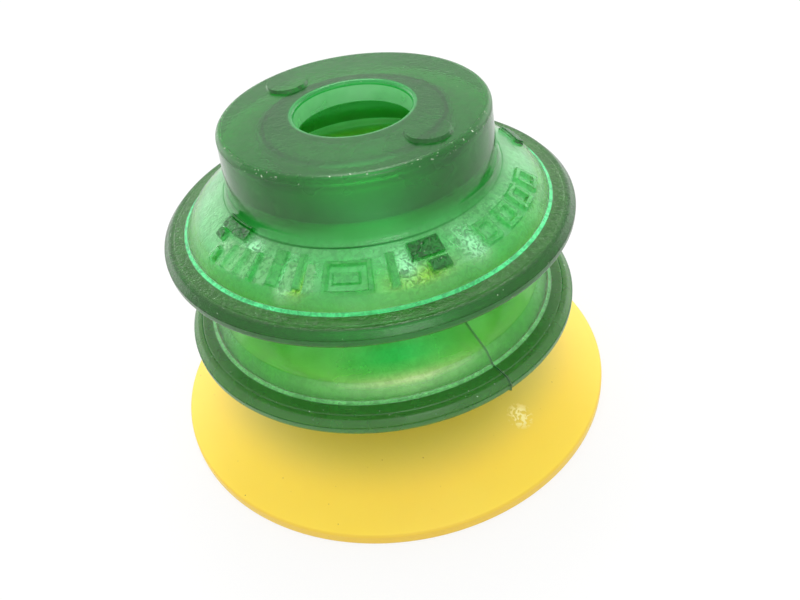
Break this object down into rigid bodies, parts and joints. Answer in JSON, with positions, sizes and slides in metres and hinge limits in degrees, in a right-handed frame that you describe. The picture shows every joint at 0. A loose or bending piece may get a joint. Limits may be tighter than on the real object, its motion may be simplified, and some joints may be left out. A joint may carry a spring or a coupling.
{
  "type": "bellows suction cup",
  "caption": "Bellows suction cup for a vacuum gripper: a translucent green folded body with a hole for its fitting, and a soft yellow sealing lip.",
  "frame": {"origin": "centre of the flat ring at the lip's sealing edge", "axes": "+Z along the cup's axis, from the lip to the neck. The part is the same all round, apart from the two pads on the neck's face, which lie on a line at -48 degrees from +X"},
  "size_m": [0.038, 0.038, 0.0271],
  "materials": {
    "body_polyurethane": "glossy translucent moulded polyurethane, firm grade",
    "lip_polyurethane": "satin opaque moulded polyurethane, soft grade"
  },
  "bodies": {
    "root": {"bellows_body": "body_polyurethane", "sealing_lip": "lip_polyurethane"}
  },
  "joints": []
}
